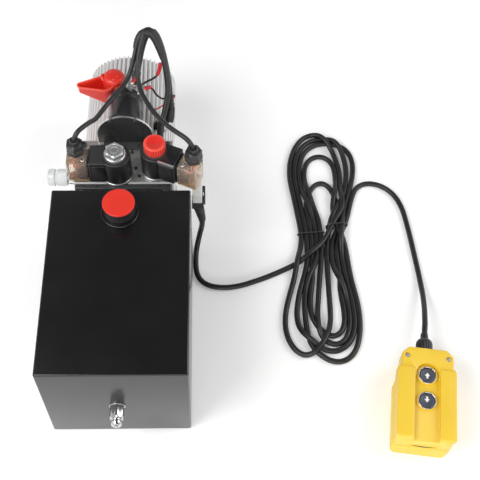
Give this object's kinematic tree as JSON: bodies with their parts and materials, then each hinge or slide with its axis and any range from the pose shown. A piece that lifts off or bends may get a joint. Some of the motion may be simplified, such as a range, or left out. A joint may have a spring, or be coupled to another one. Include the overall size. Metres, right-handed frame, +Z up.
{
  "type": "hydraulic power unit",
  "caption": "DC hydraulic power unit: black steel tank, manifold with solenoid valves, finned motor, start relay and a wired push-button pendant on a loose hank of cord.",
  "frame": {"origin": "centre of the tank's bottom face", "axes": "+Y from the drain end of the tank to the motor, +Z up, +X to the side where the pendant's cord leaves"},
  "size_m": [0.5476, 0.5589, 0.2634],
  "materials": {
    "tank_steel": "gloss black enamel",
    "black_plastic": "fine satin",
    "black_rubber": "satin sleeve",
    "cord_rubber": "smooth satin",
    "red_plastic": "moulded red",
    "yellow_plastic": "moulded yellow, semi-gloss",
    "white_nylon": "natural nylon",
    "amber_clear": "clear amber moulding over brass contacts",
    "button_grey": "satin",
    "aluminium": "as extruded",
    "zinc_steel": "zinc plated",
    "chrome": "bright plated",
    "steel": "machined",
    "copper": "bare copper",
    "magnet": "sintered ferrite"
  },
  "bodies": {
    "unit": {"tank_shell": "tank_steel", "tank_flange": "tank_steel", "filler_neck": "tank_steel", "motor_front_plate": "tank_steel", "relay_bracket": "tank_steel", "relay_can": "tank_steel", "valve_a_coil": "black_plastic", "valve_b_coil": "black_plastic", "valve_a_gland": "black_plastic", "valve_b_gland": "black_plastic", "relay_cap": "black_plastic", "cord_plug": "black_plastic", "pendant_gland": "black_plastic", "pendant_switches": "black_plastic", "motor_brush_ring": "black_plastic", "motor_cable": "black_rubber", "valve_a_lead": "black_rubber", "valve_b_lead": "black_rubber", "harness_loom": "black_rubber", "pendant_cord_lead": "cord_rubber", "pendant_cord_hank": "cord_rubber", "pendant_cord_tail": "cord_rubber", "battery_boot": "red_plastic", "pendant_back": "yellow_plastic", "pendant_front": "yellow_plastic", "harness_connector": "white_nylon", "valve_a_connector": "amber_clear", "valve_b_connector": "amber_clear", "motor_housing": "aluminium", "motor_rear_cap": "aluminium", "manifold_block": "aluminium", "pump_body": "aluminium", "pump_cover": "aluminium", "port_plug": "zinc_steel", "valve_a_cartridge": "zinc_steel", "valve_b_cartridge": "zinc_steel", "valve_a_nut": "zinc_steel", "suction_strainer": "zinc_steel", "pendant_bezels": "zinc_steel", "drain_plug": "chrome", "motor_terminal": "chrome", "motor_front_bearing": "chrome", "motor_rear_bearing": "chrome", "relay_stud_battery": "copper", "relay_stud_motor": "copper", "motor_magnet": "magnet"},
    "filler_ring": {"filler_seal": "black_rubber"},
    "filler_cap": {"filler_cap": "black_plastic", "filler_cap_disc": "red_plastic"},
    "rotor": {"motor_shaft": "steel", "motor_armature": "copper", "shaft_coupling": "steel", "pump_drive_gear": "steel"},
    "idler": {"pump_idler_gear": "steel"},
    "spool_a": {"valve_a_spool": "steel"},
    "spool_b": {"valve_b_spool": "steel"},
    "override_knob": {"valve_b_knob": "red_plastic"},
    "relay_contact": {"relay_plunger": "steel"},
    "up_button": {"pendant_button_up": "button_grey"},
    "down_button": {"pendant_button_down": "button_grey"}
  },
  "joints": [
    {"name": "cap_rise", "type": "slide", "parent": "unit", "child": "filler_ring", "axis": [0, 0, 1], "range_m": [0, 0.006]},
    {"name": "cap_turn", "type": "hinge", "parent": "filler_ring", "child": "filler_cap", "pos_m": [0, 0.0945, 0.177], "axis": [0, 0, 1], "range_deg": [0, 720]},
    {"name": "motor_spin", "type": "hinge", "parent": "unit", "child": "rotor", "pos_m": [0, 0.3, 0.088], "axis": [0, 1, 0], "continuous": true},
    {"name": "idler_spin", "type": "hinge", "parent": "unit", "child": "idler", "pos_m": [0, 0.13, 0.068], "axis": [0, 1, 0], "continuous": true},
    {"name": "spool_a_lift", "type": "slide", "parent": "unit", "child": "spool_a", "axis": [0, 0, 1], "range_m": [0, 0.003], "stiffness_N_per_m": 400, "springref_m": -0.002},
    {"name": "spool_b_lift", "type": "slide", "parent": "unit", "child": "spool_b", "axis": [0, 0, 1], "range_m": [0, 0.003], "stiffness_N_per_m": 400, "springref_m": -0.002},
    {"name": "override_turn", "type": "hinge", "parent": "unit", "child": "override_knob", "pos_m": [0.043, 0.182, 0.2], "axis": [0, 0, 1], "range_deg": [0, 270]},
    {"name": "relay_pull", "type": "slide", "parent": "unit", "child": "relay_contact", "axis": [0, 1, 0], "range_m": [0, 0.003], "stiffness_N_per_m": 400, "springref_m": -0.002},
    {"name": "up_press", "type": "slide", "parent": "unit", "child": "up_button", "axis": [0, 0, -1], "range_m": [0, 0.003], "stiffness_N_per_m": 400, "springref_m": -0.002},
    {"name": "down_press", "type": "slide", "parent": "unit", "child": "down_button", "axis": [0, 0, -1], "range_m": [0, 0.003], "stiffness_N_per_m": 400, "springref_m": -0.002}
  ],
  "couplings": [
    {"joint": "cap_rise", "follows": "cap_turn", "m_per_rad": 0.00047746},
    {"joint": "idler_spin", "follows": "motor_spin", "ratio": -1}
  ]
}
